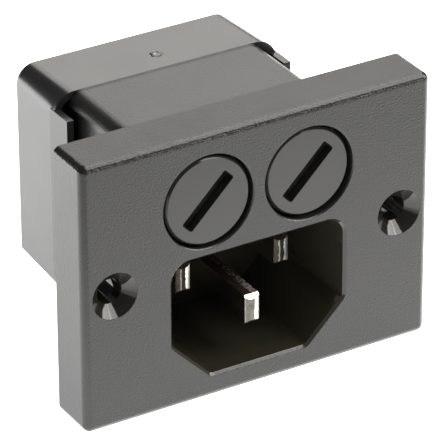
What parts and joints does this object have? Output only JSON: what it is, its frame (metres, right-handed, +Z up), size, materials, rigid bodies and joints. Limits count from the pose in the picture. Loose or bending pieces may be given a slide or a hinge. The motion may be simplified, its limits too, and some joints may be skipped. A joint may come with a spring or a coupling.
{
  "type": "c14 panel inlet socket",
  "caption": "Screw-mounted C14 mains inlet with two bayonet fuse carriers above the recess, a clipped rear cover and blade terminals.",
  "frame": {"origin": "midway between the two panel screws, on the rear plane of the flange", "axes": "+X to the right seen from the front, +Y back through the panel, +Z up"},
  "size_m": [0.0486, 0.0409, 0.0362],
  "materials": {
    "housing": "moulded black thermoplastic with a fine matt grain",
    "cover": "moulded black thermoplastic, smoother than the flange",
    "carrier": "moulded black thermoplastic, slightly smoother",
    "bush": "moulded black thermoplastic",
    "nickel": "nickel-plated brass, satin",
    "terminal": "tinned brass",
    "brass": "spring brass strip",
    "spring_steel": "drawn spring wire",
    "glass": "clear glass tube",
    "fuse_wire": "tinned copper wire"
  },
  "bodies": {
    "housing": {"front_moulding": "housing", "rear_cover": "cover", "left_blade": "nickel", "right_blade": "nickel", "earth_blade": "nickel", "earth_terminal": "terminal", "left_side_contact": "brass", "left_terminal": "terminal", "left_bayonet_bush": "bush", "right_side_contact": "brass", "right_terminal": "terminal", "right_bayonet_bush": "bush"},
    "left_fuse": {"left_fuse_glass": "glass", "left_fuse_front_cap": "nickel", "left_fuse_rear_cap": "nickel", "left_fuse_wire": "fuse_wire"},
    "left_carrier": {"left_fuse_carrier": "carrier", "left_contact_cup": "brass", "left_fuse_spring": "spring_steel"},
    "right_fuse": {"right_fuse_glass": "glass", "right_fuse_front_cap": "nickel", "right_fuse_rear_cap": "nickel", "right_fuse_wire": "fuse_wire"},
    "right_carrier": {"right_fuse_carrier": "carrier", "right_contact_cup": "brass", "right_fuse_spring": "spring_steel"}
  },
  "joints": [
    {"name": "left_fuse_slide", "type": "slide", "parent": "housing", "child": "left_fuse", "axis": [0, -1, 0], "range_m": [0, 0.002]},
    {"name": "left_carrier_turn", "type": "hinge", "parent": "left_fuse", "child": "left_carrier", "pos_m": [-0.00703, 0, 0.00906], "axis": [0, -1, 0], "range_deg": [0, 90]},
    {"name": "right_fuse_slide", "type": "slide", "parent": "housing", "child": "right_fuse", "axis": [0, -1, 0], "range_m": [0, 0.002]},
    {"name": "right_carrier_turn", "type": "hinge", "parent": "right_fuse", "child": "right_carrier", "pos_m": [0.00703, 0, 0.00906], "axis": [0, -1, 0], "range_deg": [0, 90]}
  ],
  "couplings": [
    {"joint": "left_carrier_turn", "follows": "left_fuse_slide", "rad_per_m": 785.4},
    {"joint": "right_carrier_turn", "follows": "right_fuse_slide", "rad_per_m": 785.4}
  ]
}
